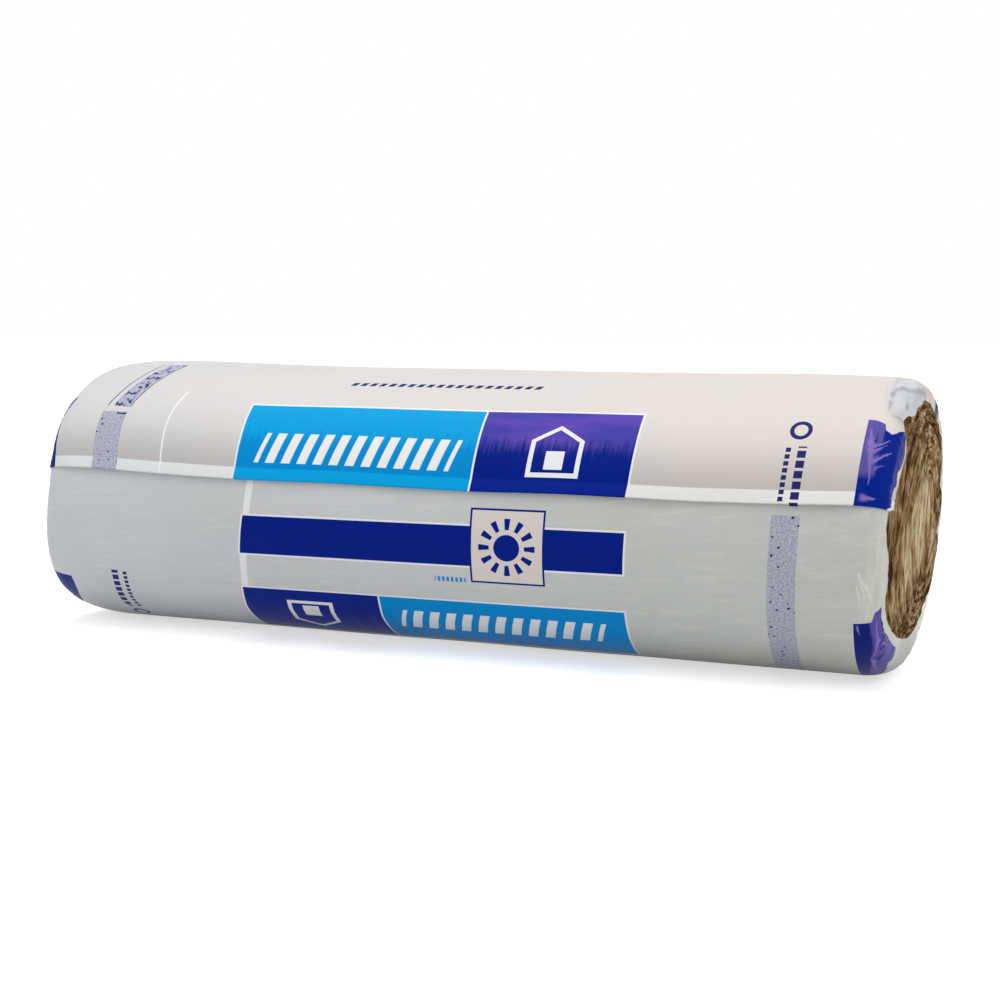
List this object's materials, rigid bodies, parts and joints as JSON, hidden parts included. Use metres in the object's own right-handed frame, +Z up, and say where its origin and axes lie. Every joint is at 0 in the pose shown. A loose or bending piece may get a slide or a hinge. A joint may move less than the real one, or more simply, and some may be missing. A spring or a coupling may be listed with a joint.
{
  "type": "insulation roll",
  "caption": "Roll of brown glass mineral wool in a printed film sleeve, lying on its side: open bulging ends show the wound turns, an overlap seam runs along the front.",
  "frame": {"origin": "on the floor, under the middle of the roll", "axes": "+X along the roll's axis, towards the end whose face is turned a little to the front; +Z up; the overlap seam is on the -Y side"},
  "size_m": [1.1939, 0.3666, 0.3667],
  "materials": {
    "glass_wool": "matt, fibrous, brown",
    "printed_film": "thin satin film, off-white with blue and violet print"
  },
  "bodies": {
    "root": {"wool_roll": "glass_wool", "film_sleeve": "printed_film"}
  },
  "joints": []
}
